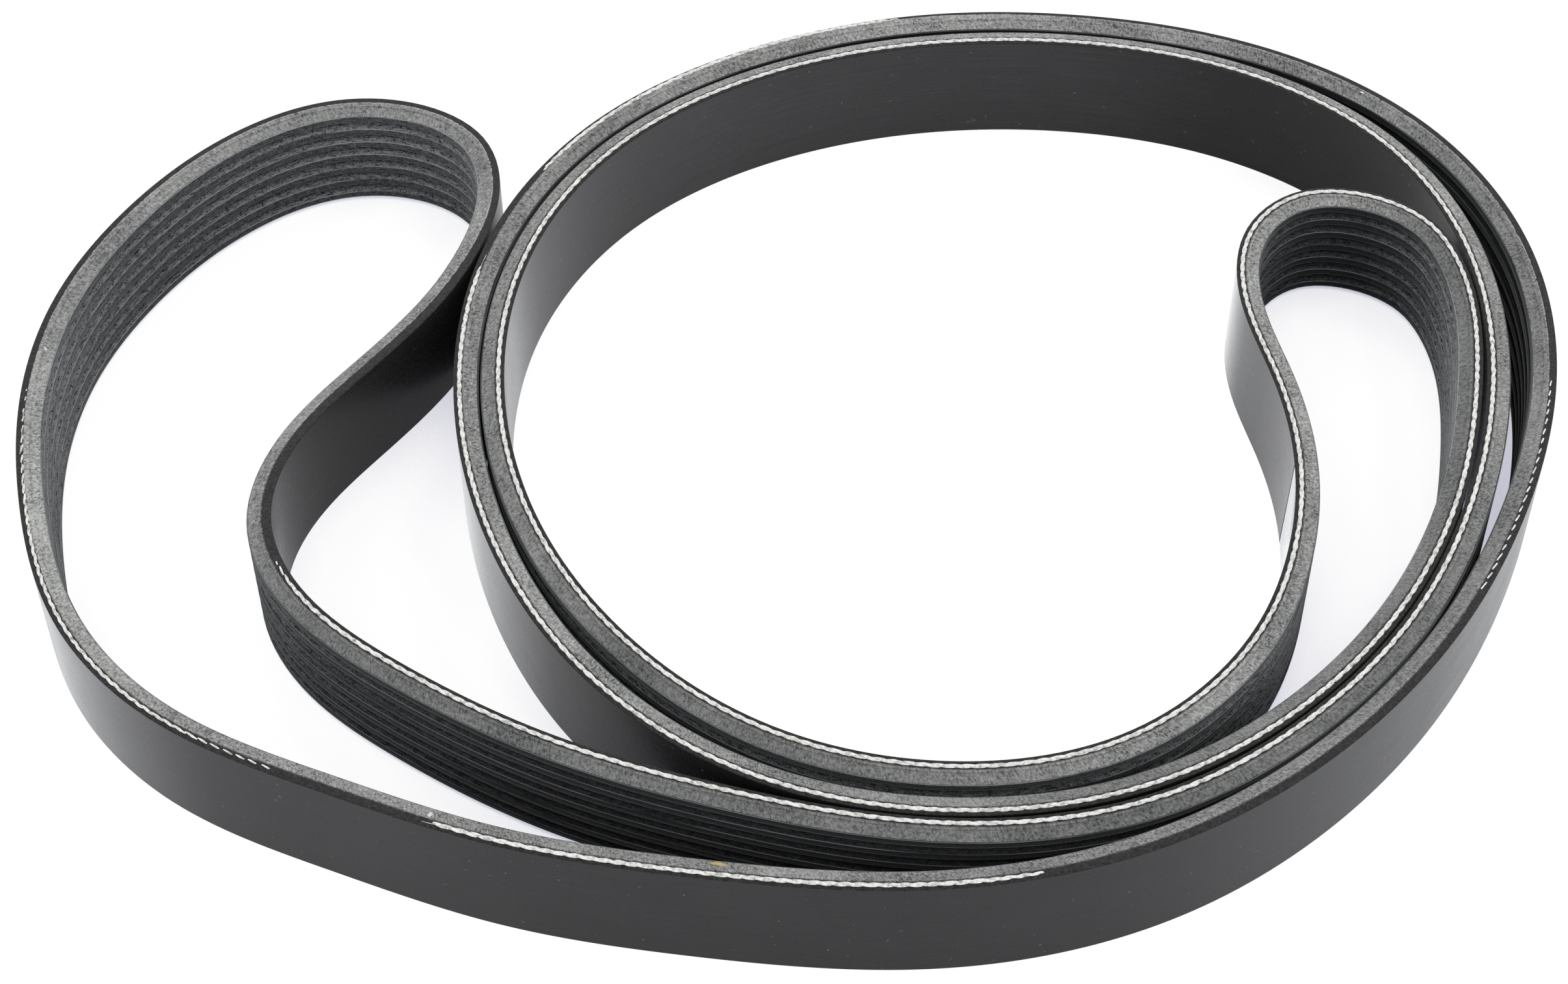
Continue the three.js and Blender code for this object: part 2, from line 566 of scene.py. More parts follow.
class Graph:
    """A node graph: that of a new material, or one that is given."""

    def __init__(self, name: str, tree: bpy.types.NodeTree | None = None) -> None:
        """Empties the given graph, or starts a material.

        Args:
            name: Name of the new material.
            tree: Graph to use instead of a new material's.
        """
        if tree is None:
            self.material = bpy.data.materials.new(name)
            self.material.use_nodes = True
            tree = self.material.node_tree
        self.tree = tree
        self.tree.nodes.clear()

    def node(self, kind: str, inputs: dict[Any, Any] | None = None, **settings: Any) -> bpy.types.Node:
        """Adds a node.

        Args:
            kind: The node's type, without the ShaderNode that starts its name.
            inputs: Values, signals or sockets for its sockets, by name or number.
            **settings: Its settings, which are set first.

        Returns:
            The new node.
        """
        node = self.tree.nodes.new("ShaderNode" + kind)
        for name, value in settings.items():
            setattr(node, name, value)
        for name, value in (inputs or {}).items():
            if isinstance(value, Signal):
                self.tree.links.new(value.socket, node.inputs[name])
            elif isinstance(value, Socket):
                self.tree.links.new(value, node.inputs[name])
            else:
                node.inputs[name].default_value = value
        return node

    def axis(self, uv_map: str, index: int) -> Signal:
        """Reads one axis of a UV map, in millimetres.

        Args:
            uv_map: Name of the UV map, which is in metres.
            index: 0 for the first axis and 1 for the second.

        Returns:
            The distance in millimetres.
        """
        uv = self.node("UVMap", uv_map=uv_map)
        parts = self.node("SeparateXYZ", {0: uv.outputs[0]})
        return Signal(self, parts.outputs[index]) * 1000.0

    def noise(self, pattern: Pattern, vector: Socket | None = None) -> Signal:
        """Adds a noise texture, in the object's own coordinates or along the belt.

        Args:
            pattern: The noise to make.
            vector: Coordinates to use instead of the object's own.

        Returns:
            The noise, about NOISE_MEAN in the mean.
        """
        scale = pattern.scale
        if isinstance(scale, tuple):
            inputs = {0: self.node("UVMap", uv_map="run").outputs[0], 1: (*scale, 1.0)}
            vector = self.node("VectorMath", inputs, operation="MULTIPLY").outputs[0]
            scale = 1.0
        elif vector is None:
            vector = self.node("TexCoord").outputs["Object"]
        inputs = {"Vector": vector, "Scale": scale, "Detail": pattern.detail, "Roughness": pattern.rough}
        return Signal(self, self.node("TexNoise", inputs).outputs[0])

    def vector(self, *parts: Signal) -> Socket:
        """Joins up to three signals into one vector."""
        return self.node("CombineXYZ", dict(enumerate(parts))).outputs[0]

    def blend(self, share: "Signal | float", first: Any, second: Any) -> Socket:
        """Mixes two colours.

        Args:
            share: 0 for the first colour and 1 for the second.
            first: Colour or colour socket.
            second: Colour or colour socket.

        Returns:
            The mixed colour.
        """
        def colour(value: Any) -> Any:
            """Adds the alpha to a plain colour."""
            return (*value, 1.0) if isinstance(value, tuple) else value

        inputs = {0: share, 6: colour(first), 7: colour(second)}
        return self.node("Mix", inputs, data_type="RGBA", clamp_factor=True).outputs[2]

    def bump(self, height: Signal, distance: float) -> Socket:
        """Gives the normal of a relief from 0 to 1, whose full height is in millimetres."""
        inputs = {"Strength": 1.0, "Distance": distance * MM, "Height": height}
        return self.node("Bump", inputs).outputs[0]

    def surface(self, cut: Signal | None = None, **inputs: Any) -> Material:
        """Ends the graph in a Principled surface.

        Args:
            cut: 1 where a black cut lies in the surface, and 0 elsewhere.
            **inputs: Socket values by socket name, with _ for a space.

        Returns:
            The finished material.
        """
        sockets = {name.replace("_", " "): value for name, value in inputs.items()}
        shader = self.node("BsdfPrincipled", sockets)
        if cut is not None:
            black = self.node("BsdfDiffuse", {"Color": (*CUT_BLACK, 1.0)})
            shaders = {0: cut, 1: shader.outputs[0], 2: black.outputs[0]}
            shader = self.node("MixShader", shaders)
        self.node("OutputMaterial", {0: shader.outputs[0]})
        return self.material


@dataclass(frozen=True)
class Splice:
    """Slanted seam across the back where the fabric's ends overlap, in millimetres.

    Its top and foot are numbers of route points.
    """

    line: BeltLine
    width: float
    top: float = 75.6
    foot: float = 75.47
    half_line: float = 0.16
    # Past the seam the lap is coated and painted pale as sheen: it rises over lap_start and fades out
    # over pale_reach.
    lap_start: float = 0.5
    pale_reach: float = 28.0

    def past(self, graph: Graph) -> Signal:
        """Measures how far along the belt a place lies past the seam.

        Args:
            graph: The graph that takes the nodes.

        Returns:
            The distance in millimetres, below 0 before the seam.
        """
        along, height = graph.axis("run", 0), graph.axis("section", 1)
        top, foot = self.line.distance_of(self.top), self.line.distance_of(self.foot)
        return along - foot + height * ((foot - top) / self.width)


@dataclass(frozen=True)
class PlyFinish:
    """Smooth fabric-backed rubber of the belt's back, with fine lines along the belt and painted sheen:
    paler streaks where it is coated and a pale lap past the splice.
    """

    dark: Colour = (0.0035, 0.0035, 0.004)
    light: Colour = (0.014, 0.013, 0.014)
    painted_sheen: Colour = (0.2, 0.195, 0.2)
    painted_lap_sheen: Colour = (0.36, 0.35, 0.35)
    speck: Colour = (0.12, 0.12, 0.12)
    lines: Pattern = Pattern((45.0, 3000.0), 3.0, 0.6)
    streaks: Pattern = Pattern((20.0, 800.0), 3.0, 0.6)
    cloud: Pattern = Pattern(90.0, 4.0, 0.55)
    grain: Pattern = Pattern(2600.0, 3.0, 0.7)
    specks: Pattern = Pattern(900.0, 1.0, 0.5)
    line_tone: float = 0.9
    streak_tone: float = 0.4
    cloud_tone: float = 0.6
    grain_tone: float = 1.1
    tone_cut: float = 1.0
    line_painted_sheen: float = 0.4
    grain_painted_sheen: float = 0.25
    lap_sheen_share: float = 0.2
    line_lap_sheen_share: float = 1.3
    speck_levels: Pair = (0.74, 0.8)
    speck_share: float = 0.35
    roughness: float = 0.27
    cloud_roughness: float = 0.1
    line_roughness: float = 0.2
    coat_roughness: float = 0.1
    refraction: float = 1.24
    sheen: float = 0.05
    sheen_roughness: float = 0.3
    relief: float = 0.012
    line_relief: float = 0.6
    grain_relief: float = 0.4
    seam_relief: float = 3.0

    def material(self, splice: Splice) -> Material:
        """Makes the material.

        Args:
            splice: The seam across the back.

        Returns:
            The finished material.
        """
        graph = Graph("belt_back_ply")
        lines, streaks = graph.noise(self.lines), graph.noise(self.streaks)
        cloud, grain = graph.noise(self.cloud), graph.noise(self.grain)
        past = splice.past(graph)
        seam = 1 - abs(past).step(splice.half_line, splice.half_line * 2)
        faded = past.step(splice.pale_reach / 2, splice.pale_reach)
        lapped = past.step(0.0, splice.lap_start) * (1 - faded)
        tone = lines * self.line_tone + streaks * self.streak_tone + cloud * self.cloud_tone
        tone = tone + grain * self.grain_tone - self.tone_cut
        colour = graph.blend(tone.limited(), self.dark, self.light)
        # Painted sheen: where the back is coated, a pale grey streaked along the fine lines is painted
        # into its colour.
        coat_and_painted_sheen = graph.axis("paleness", 1)
        sheen_patches = coat_and_painted_sheen * (lines * self.line_painted_sheen + grain * self.grain_painted_sheen)
        colour = graph.blend(sheen_patches.limited(), colour, self.painted_sheen)
        # Painted sheen: the lap past the splice is painted pale, as if catching light at a glancing
        # angle, and fades out further on.
        painted_lap_sheen = lapped * (self.lap_sheen_share + lines * self.line_lap_sheen_share)
        colour = graph.blend(painted_lap_sheen.limited(), colour, self.painted_lap_sheen)
        specks = graph.noise(self.specks).step(*self.speck_levels)
        colour = graph.blend(specks * self.speck_share, colour, self.speck)
        relief = lines * self.line_relief + grain * self.grain_relief - seam * self.seam_relief + specks
        roughness = self.roughness + (cloud - NOISE_MEAN) * self.cloud_roughness
        roughness = roughness + (lines + grain - 2 * NOISE_MEAN) * self.line_roughness
        return graph.surface(
            cut=seam,
            Base_Color=colour,
            Roughness=roughness,
            IOR=self.refraction,
            Coat_Weight=(coat_and_painted_sheen + lapped).limited(),
            Coat_Roughness=self.coat_roughness,
            Sheen_Weight=self.sheen,
            Sheen_Roughness=self.sheen_roughness,
            Normal=graph.bump(relief, self.relief),
        )


@dataclass(frozen=True)
class Mark:
    """A small mark on the cut edge, in millimetres apart from the number of its route point."""

    point_number: float
    depth: float
    length: float
    width: float
    colour: Colour
    fullness: float = 1.3
    raggedness: float = 2.0

    def cover(self, along: Signal, depth: Signal, grain: Signal) -> Signal:
        """Finds how much of the mark shows.

        Args:
            along: Distance along the belt from the mark's middle.
            depth: Depth under the back.
            grain: Noise that makes the mark's outline uneven.

        Returns:
            0 outside the mark and 1 in its middle.
        """
        off_along = along / (self.length / 2)
        off_depth = (depth - self.depth) / (self.width / 2)
        inside = self.fullness - off_along * off_along - off_depth * off_depth
        return (inside + (grain - NOISE_MEAN) * self.raggedness).limited()


@dataclass(frozen=True)
class CutEdgeFinish:
    """Cut edge: dark ply along the back, then grey fibre-filled rubber that the knife left rough."""

    ply_dark: Colour = (0.0035, 0.0035, 0.0035)
    ply_light: Colour = (0.024, 0.025, 0.024)
    fibre_dark: Colour = (0.028, 0.03, 0.03)
    fibre_light: Colour = (0.39, 0.396, 0.386)
    seam_dark: Colour = CUT_BLACK
    seam_pale: Colour = (0.42, 0.43, 0.42)
    fibres: Pattern = Pattern(1.0, 3.0, 0.7)
    speckle: Pattern = Pattern(1700.0, 3.0, 0.75)
    threads: Pattern = Pattern(750.0, 2.0, 0.55)
    scratches: Pattern = Pattern(1.0, 2.0, 0.6)
    cloud: Pattern = Pattern(60.0, 3.0, 0.6)
    teeth: Pattern = Pattern(1300.0, 1.0, 0.4)
    # Cycles to a millimetre: the fibres' along the belt, their slant, and the scratches' both ways.
    fibre_run: float = 2.6
    fibre_slant: float = 1.1
    scratch_run: Pair = (0.12, 4.0)
    # A thread or a hair lies where its noise is close to the level.
    thread_level: float = 0.5
    thread_sharpness: float = 22.0
    hair_level: float = 0.52
    hair_sharpness: float = 20.0
    fibre_levels: Pair = (0.34, 0.68)
    fibre_tone: float = 0.3
    speckle_levels: Pair = (0.3, 0.7)
    speckle_tone: float = 0.36
    thread_tone: float = 0.22
    scratch_tone: float = 0.3
    cloud_tone: float = 0.7
    ply_levels: Pair = (0.35, 0.75)
    boundary: float = 0.06
    tooth_depth: float = 0.4
    seam_depth: float = 0.08
    seam_fade: Pair = (0.04, 0.17)
    seam_gaps: Pair = (0.3, 0.5)
    mark_share: float = 0.85
    ply_roughness: float = 0.6
    fibre_roughness: float = 0.9
    refraction: float = 1.25
    sheen: float = 0.06
    sheen_roughness: float = 0.5
    relief: float = 0.1
    fibre_relief: float = 0.5
    speckle_relief: float = 0.6
    thread_relief: float = 0.3
    seam_relief: float = 0.4
    marks: tuple[Mark, ...] = (
        Mark(40.62, 2.9, 0.9, 1.5, SCUFF),
        Mark(42.1, 3.8, 3.0, 0.9, STAIN),
        Mark(35.55, 2.6, 0.9, 0.6, SCUFF),
        Mark(50.35, 2.0, 1.0, 0.5, SCUFF),
    )

    def material(self, line: BeltLine) -> Material:
        """Makes the material.

        Args:
            line: The belt's back, along which the marks lie.

        Returns:
            The finished material.
        """
        graph = Graph("belt_cut_edge")
        along, depth = graph.axis("run", 0), graph.axis("section", 0)
        past_ply, seam_tone = graph.axis("ply", 0), graph.axis("ply", 1)
        slanted = along * self.fibre_run + depth * self.fibre_slant
        fibres = graph.noise(self.fibres, graph.vector(slanted, depth))
        speckle, bent = graph.noise(self.speckle), graph.noise(self.threads)
        threads = (1 - abs(bent - self.thread_level) * self.thread_sharpness).limited()
        threads = threads + (1 - abs(fibres - self.hair_level) * self.hair_sharpness).limited()
        stretched = graph.vector(along * self.scratch_run[0], depth * self.scratch_run[1])
        scratches = graph.noise(self.scratches, stretched)
        cloud, teeth = graph.noise(self.cloud), graph.noise(self.teeth)
        tone = fibres.step(*self.fibre_levels) * self.fibre_tone
        tone = tone + speckle.step(*self.speckle_levels) * self.speckle_tone
        tone = tone + threads * self.thread_tone + (scratches - NOISE_MEAN) * self.scratch_tone
        tone = tone + (cloud - NOISE_MEAN) * self.cloud_tone
        tone = tone.limited() * graph.axis("paleness", 0)
        ragged = past_ply + (teeth - NOISE_MEAN) * self.tooth_depth
        beyond = ragged.step(-self.boundary, self.boundary)
        ply = graph.blend(speckle.step(*self.ply_levels), self.ply_dark, self.ply_light)
        colour = graph.blend(beyond, ply, graph.blend(tone, self.fibre_dark, self.fibre_light))
        seam = 1 - abs(past_ply - self.seam_depth).step(*self.seam_fade)
        seam = seam * teeth.step(*self.seam_gaps)
        colour = graph.blend(seam * seam_tone.limited(), colour, self.seam_pale)
        colour = graph.blend(seam * (0 - seam_tone).limited(), colour, self.seam_dark)
        for mark in self.marks:
            cover = mark.cover(along - line.distance_of(mark.point_number), depth, speckle)
            colour = graph.blend(cover * self.mark_share, colour, mark.colour)
        relief = fibres * self.fibre_relief + speckle * self.speckle_relief
        relief = relief + threads * self.thread_relief - seam * self.seam_relief
        return graph.surface(
            Base_Color=colour,
            Roughness=self.ply_roughness + beyond * (self.fibre_roughness - self.ply_roughness),
            IOR=self.refraction,
            Normal=graph.bump(relief, self.relief),
            Sheen_Weight=self.sheen,
            Sheen_Roughness=self.sheen_roughness,
        )


@dataclass(frozen=True)
class FlockFinish:
    """Ribs: black rubber with short fibres, dark on the crowns. Light is painted in: flanks paler as if
    lit from above, a painted highlight along the corners, fullest on the upper ones, and painted sheen
    and shade along the belt.
    """

    dark: Colour = (0.005, 0.0056, 0.0065)
    light: Colour = (0.2, 0.208, 0.215)
    streaks: Pattern = Pattern((600.0, 1900.0), 3.0, 0.7)
    fine: Pattern = Pattern(3300.0, 2.0, 0.7)
    sheen_patches: Pattern = Pattern((30.0, 500.0), 2.0, 0.6)
    rib_pitch: float = 3.56
    groove_depth: float = 2.5
    flank_end: float = 4.35
    crown_start: float = 4.66
    corner_depth: float = 4.56
    corner_fade: Pair = (0.1 / 3, 0.1)
    upper_half: Pair = (0.45, 0.55)
    flock_levels: Pair = (0.36, 0.68)
    sheen_patch_levels: Pair = (0.3, 0.6)
    crown_tone: float = 0.1
    flank_tone: float = 0.68
    corner_tone: float = 1.2
    pale_corner_drop: float = 0.7
    roughness: float = 0.8
    refraction: float = 1.12
    sheen: float = 0.23
    sheen_roughness: float = 0.4
    relief: float = 0.13
    streak_relief: float = 0.6
    fine_relief: float = 0.7

    def material(self) -> Material:
        """Makes the material.

        Returns:
            The finished material.
        """
        graph = Graph("belt_rib_flock")
        depth = graph.axis("section", 0)
        streaks, fine = graph.noise(self.streaks), graph.noise(self.fine)
        painted_sheen = graph.noise(self.sheen_patches).step(*self.sheen_patch_levels)
        # Painted light: the flanks, which face up, are painted paler as if lit from above.
        flank = depth.step(self.groove_depth, self.flank_end)
        flank = flank * (1 - depth.step(self.flank_end, self.crown_start))
        # Painted highlight along each rib's corner, broken into patches by a noise.
        corner = 1 - abs(depth - self.corner_depth).step(*self.corner_fade)
        flock = streaks.step(*self.flock_levels) * 0.5 + fine.step(*self.flock_levels) * 0.5
        # The paleness along the belt paints sheen and shade on the ribs, and sharpens the contrast of
        # flanks and corners where it is high.
        paleness = graph.axis("paleness", 1)
        part_pale = paleness.limited()
        # The painted highlight is full on each rib's upper corner, the side that faces the light, and on
        # the lower corner only where the ribs are painted pale.
        upper = (graph.axis("section", 1) / self.rib_pitch).fraction().step(*self.upper_half)
        corner = corner * (upper + (1 - upper) * part_pale * part_pale)
        flank = flank * part_pale * part_pale * self.flank_tone
        tone = flock * (self.crown_tone * paleness * paleness + flank)
        tone = tone + corner * painted_sheen * (self.corner_tone - part_pale * self.pale_corner_drop)
        tone = tone * paleness
        return graph.surface(
            Base_Color=graph.blend(tone.limited(), self.dark, self.light),
            Roughness=self.roughness,
            IOR=self.refraction,
            Normal=graph.bump(streaks * self.streak_relief + fine * self.fine_relief, self.relief),
            Sheen_Weight=self.sheen,
            Sheen_Roughness=self.sheen_roughness,
        )


@dataclass(frozen=True)
class CordFinish:
    """Tension cord: off-white polyester yarns, a little soiled, with shade painted where each ply faces
    the other.
    """

    yarn: Colour = (0.57, 0.57, 0.555)
    soil_and_shade: Colour = (0.16, 0.16, 0.15)
    yarns: Pattern = Pattern((700.0, 2.0), 3.0, 0.7)
    soil: Pattern = Pattern(1500.0, 3.0, 0.6)
    outward_levels: Pair = (-0.65, -0.1)
    yarn_levels: Pair = (0.3, 0.55)
    yarn_tone: float = 0.6
    soil_levels: Pair = (0.35, 0.6)
    soil_tone: float = 0.5
    shaded_inward_tone: float = 0.35
    roughness: float = 0.7
    relief: float = 0.05
    yarn_relief: float = 0.6
    soil_relief: float = 0.4

    def material(self) -> Material:
        """Makes the material.

        Returns:
            The finished material.
        """
        graph = Graph("belt_tension_cord")
        yarns, soil = graph.noise(self.yarns), graph.noise(self.soil)
        outward = graph.axis("facing", 0).step(*self.outward_levels)
        tone = yarns.step(*self.yarn_levels) * self.yarn_tone
        tone = (tone + soil.step(*self.soil_levels) * self.soil_tone).limited()
        # Painted shade: the yarns are darker where the ply faces the other ply, in the hollow between
        # them.
        tone = tone * (self.shaded_inward_tone + outward * (1 - self.shaded_inward_tone))
        return graph.surface(
            Base_Color=graph.blend(tone, self.soil_and_shade, self.yarn),
            Roughness=self.roughness,
            Normal=graph.bump(yarns * self.yarn_relief + soil * self.soil_relief, self.relief),
        )


@dataclass
class RibbedBelt:
    """The moulded belt: its section carried once round the line of the back."""

    section: BeltSection
    line: BeltLine
    stations: int = 1000
    ply_depths: Stops = (
        (0, 1.8), (23, 1.85), (27, 1.9), (28.5, 1.5), (30, 1.35), (34, 1.3), (37, 1.4), (38, 1.7),
        (43, 1.75), (46, 1.55), (48, 1.5), (50, 1.3), (52, 0.95), (53, 0.75), (54, 0.85),
        (55, 1.25), (57, 1.6), (58, 1.8), (80, 1.8),
    )
    edge_paleness: Stops = (
        (0, 1.05), (1, 0.68), (3, 0.48), (4, 0.8), (6, 1.0), (8, 1.25), (13, 1.15), (15, 0.9),
        (16, 0.6), (17, 0.55), (21, 0.57), (23, 0.5), (24, 0.9), (26, 0.85), (27, 1.2), (31, 0.85),
        (35, 0.95), (37, 1.5), (39, 1.15), (41, 0.95), (44, 0.92), (46, 0.82), (49, 0.7),
        (51, 0.95), (53, 1.2), (55, 0.88), (57, 1.1), (59, 1.2), (62, 0.72), (66, 0.54), (68, 0.56),
        (69, 0.95), (71, 1.3), (75, 1.3), (76, 1.1), (80, 1.05),
    )
    # Ribs' paleness along the belt: painted sheen where they are seen at a glancing angle and painted
    # shade where other strands hide them.
    rib_paleness: Stops = (
        (0, 1.3), (3, 1.0), (6, 0.45), (14, 0.45), (16, 0.6), (21, 0.6), (22.6, 0.9), (26, 1.7),
        (32, 1.65), (34, 1.5), (36, 1.8), (39, 0.75), (43, 0.6), (48, 0.5), (62, 0.55), (64, 1.8),
        (66, 2.0), (67.5, 1.3), (69, 0.75), (73, 1.0), (78, 1.5), (80, 1.3),
    )
    # Coat on the back, and how much pale sheen is painted into its colour.
    back_coat_and_painted_sheen: Stops = (
        (0, 0.03), (4.4, 0), (5, 0.2), (5.5, 0.4), (6, 0.15), (7.5, 0.18), (10, 0.12), (11, 0),
        (12.3, 0), (13, 0.3), (14, 0), (37.3, 0), (37.8, 0.45), (38.3, 0.25), (39.3, 0), (56, 0),
        (56.8, 1), (57.6, 1), (58, 0.5), (58.4, 0.25), (58.8, 0), (70, 0), (71.5, 0.9), (72.3, 0.8),
        (73, 0.15), (75.5, 0.2), (79, 0.1), (80, 0.03),
    )
    seam_tone: Stops = (
        (0, -0.6), (25, -0.4), (28, 0.5), (34, 0.4), (36, 0), (39, -0.7), (46, -0.7), (48.5, 0.4),
        (52.8, 0.5), (53.4, -0.5), (80, -0.6),
    )

    def build(self) -> Piece:
        """Makes the belt's mesh with its three finishes.

        Returns:
            The belt as one closed piece.
        """
        outline = self.section.outline()
        outline.append(outline[0])
        around = [0.0]
        for here, there in zip(outline, outline[1:]):
            around.append(around[-1] + math.hypot(there.height - here.height, there.depth - here.depth))
        distances = [self.line.length * station / self.stations for station in range(self.stations + 1)]
        places = [self.line.place_at(distance) for distance in distances]

        def place(station: int, row: int) -> Vector:
            """Puts a point of the section at a station."""
            return places[station].at(outline[row].depth, outline[row].height)

        def run(station: int, row: int) -> Pair:
            """Measures along the belt and round its section."""
            return distances[station] * MM, around[row] * MM

        def section(station: int, row: int) -> Pair:
            """Measures the depth under the back and the height."""
            return outline[row].depth * MM, outline[row].height * MM

        def along_belt(stops: Stops) -> list[float]:
            """Finds a changing value at every station."""
            profile = Profile(self.line, stops)
            return [profile.at(distance) for distance in distances]

        ply_depths, seam_tones = along_belt(self.ply_depths), along_belt(self.seam_tone)
        edge_paleness, rib_paleness = along_belt(self.edge_paleness), along_belt(self.rib_paleness)
        back_coat_and_painted_sheen = along_belt(self.back_coat_and_painted_sheen)

        def ply(station: int, row: int) -> Pair:
            """Measures the depth past the ply, and gives the tone of the ply's end."""
            return (outline[row].depth - ply_depths[station]) * MM, seam_tones[station] * MM

        def paleness(station: int, row: int) -> Pair:
            """Gives how pale the cut edge is, and the painted sheen and shade of the ribs or the coat and
            painted sheen of the back.

            Args:
                station: Number of the station along the belt.
                row: Number of the point round the section.

            Returns:
                The two values, which the map holds in thousandths.
            """
            on_ribs = outline[row].depth > self.section.thickness / 2
            beyond_edge = rib_paleness if on_ribs else back_coat_and_painted_sheen
            return edge_paleness[station] * MM, beyond_edge[station] * MM

        uv_maps = {"run": run, "section": section, "ply": ply, "paleness": paleness}
        shape = bmesh.new()
        Sheet(self.stations, len(around) - 1, place, uv_maps, lambda row: outline[row].side).lay(shape)
        finishes = [
            PlyFinish().material(Splice(self.line, self.section.width)),
            CutEdgeFinish().material(self.line),
            FlockFinish(rib_pitch=self.section.rib_pitch).material(),
        ]
        belt = finished_piece("moulded_belt", shape, finishes)
        weighted = belt.modifiers.new("Even faces", "WEIGHTED_NORMAL")
        weighted.weight = 100
        weighted.keep_sharp = True
        return belt


@dataclass
class TensionCord:
    """The two-ply cord that the knife laid open along parts of the upper cut edge.

    Its shares are 0 where the cord is buried, about 0.5 where its bulges show as dashes, 0.7 where
    a thin line of it shows and 1 where it is laid open.
    """

    line: BeltLine
    edge_height: float
    ply_radius: float = 0.34
    ply_offset: float = 0.14
    swelling: float = 0.16
    swelling_scale: float = 0.9
    wander: float = 0.05
    wander_scale: float = 0.31
    lay_length: float = 5.15
    steps_per_lay: int = 12
    sides: int = 10
    open_lift: float = -0.1
    buried_lift: float = -0.66
    shares: Stops = (
        (0, 1), (22.5, 1), (23, 0.8), (23.15, 0.62), (23.4, 0.54), (23.45, 0), (35.9, 0), (36, 0.5),
        (36.4, 0.52), (36.9, 0.6), (37.3, 0.68), (38.6, 0.74), (39.1, 0.66), (39.3, 0.58),
        (39.7, 0.54), (39.8, 0), (40.6, 0), (40.7, 1), (43.1, 1), (43.3, 0.78), (43.4, 0.66),
        (43.43, 0), (46.15, 0), (46.3, 0.54), (48, 0.53), (48.15, 0), (52.9, 0), (53.2, 0.8),
        (54, 0.95), (55.2, 0.9), (55.4, 0.7), (55.5, 0), (56.1, 0), (56.25, 0.85), (57, 1), (80, 1),
    )
    depths: Stops = (
        (0, 1.15), (51.5, 1.15), (52.9, 0.55), (53.8, 0.6), (55, 0.95), (57, 1.15), (80, 1.15),
    )
    filament_runs: tuple[tuple[float, float, int], ...] = (
        (36.2, 37.4, 8), (40.6, 40.9, 4), (43.1, 43.3, 2), (56.1, 57.3, 22), (76, 78, 9),
    )
    filament_radius: float = 0.055
    filament_length: float = 2.8
    length_spread: float = 2.4
    filament_rise: float = 0.14
    rise_spread: float = 0.16
    aside_spread: float = 0.6
    slant_spread: float = 0.9
    filament_sink: float = 0.04
    filament_steps: int = 6
    filament_sides: int = 5
    share: Profile = field(init=False)
    middle: Profile = field(init=False)

    def __post_init__(self) -> None:
        """Lays the shares and the depths of the cord's middle along the belt."""
        self.share, self.middle = Profile(self.line, self.shares), Profile(self.line, self.depths)

    def lay_ply(self, shape: Shape, run: Pair, ply: int) -> None:
        """Lays one ply of the cord along a stretch.

        Args:
            shape: The bmesh that takes the ply.
            run: Start and end of the stretch, in millimetres.
            ply: 0 or 1, for the two plies of the cord.
        """
        steps = max(4, round((run[1] - run[0]) / self.lay_length * self.steps_per_lay))
        distances = [run[0] + (run[1] - run[0]) * step / steps for step in range(steps + 1)]

        def place(step: int, side: int) -> Vector:
            """Puts a point of the ply's round section at a step.

            Args:
                step: Number of the step along the ply.
                side: Number of the side round it.

            Returns:
                The point, in metres.
            """
            distance = distances[step]
            turn = math.tau * distance / self.lay_length + math.pi * ply
            wander = noise.noise(Vector((distance * self.wander_scale, 7.0, ply * 5.0)))
            swelling = noise.noise(Vector((distance * self.swelling_scale, 2.0, ply * 3.0)))
            radius = self.ply_radius * (1.0 + self.swelling * swelling)
            share = self.share.at(distance)
            lift = self.buried_lift + (self.open_lift - self.buried_lift) * share
            lift += self.ply_offset * share * math.sin(turn)
            angle = math.tau * side / self.sides
            depth = self.middle.at(distance) + self.wander * wander
            depth += self.ply_offset * math.cos(turn) + radius * math.cos(angle)
            height = self.edge_height + lift + radius * math.sin(angle)
            return self.line.place_at(distance).at(depth, height)

        def run_map(step: int, side: int) -> Pair:
            """Measures along the ply and round it, with the slant of its yarns."""
            return distances[step] * MM, side / self.sides + distances[step] / self.lay_length

        def facing(step: int, side: int) -> Pair:
            """Gives 1 where the ply faces away from the other ply, and -1 where it faces it."""
            turn = math.tau * distances[step] / self.lay_length + math.pi * ply
            return math.cos(math.tau * side / self.sides - turn) * MM, 0.0

        Sheet(steps, self.sides, place, {"run": run_map, "facing": facing}).lay(shape)

    def lay_filament(self, shape: Shape, start: float, number: int) -> None:
        """Lays a loose filament that the knife pulled out of the cord.

        Args:
            shape: The bmesh that takes the filament.
            start: Where it starts, in millimetres along the belt.
            number: Number of the filament, which its shape follows.
        """
        chances = [noise.noise(Vector((number * 1.73, axis * 3.17, 4.0))) for axis in range(4)]
        length = self.filament_length + self.length_spread * chances[0]
        rise = self.filament_rise + self.rise_spread * chances[1]
        aside, slant = self.aside_spread * chances[2], self.slant_spread * chances[3]
        steps, sides = self.filament_steps, self.filament_sides

        def place(step: int, side: int) -> Vector:
            """Puts a point of the filament's round section at a step.

            Args:
                step: Number of the step along the filament.
                side: Number of the side round it.

            Returns:
                The point, in metres.
            """
            share = step / steps
            distance = start + length * share
            angle = math.tau * side / sides
            depth = self.middle.at(distance) + aside + slant * (share - 0.5) * share
            height = self.edge_height - self.filament_sink + rise * share
            depth += self.filament_radius * math.cos(angle)
            height += self.filament_radius * math.sin(angle)
            return self.line.place_at(distance).at(depth, height)

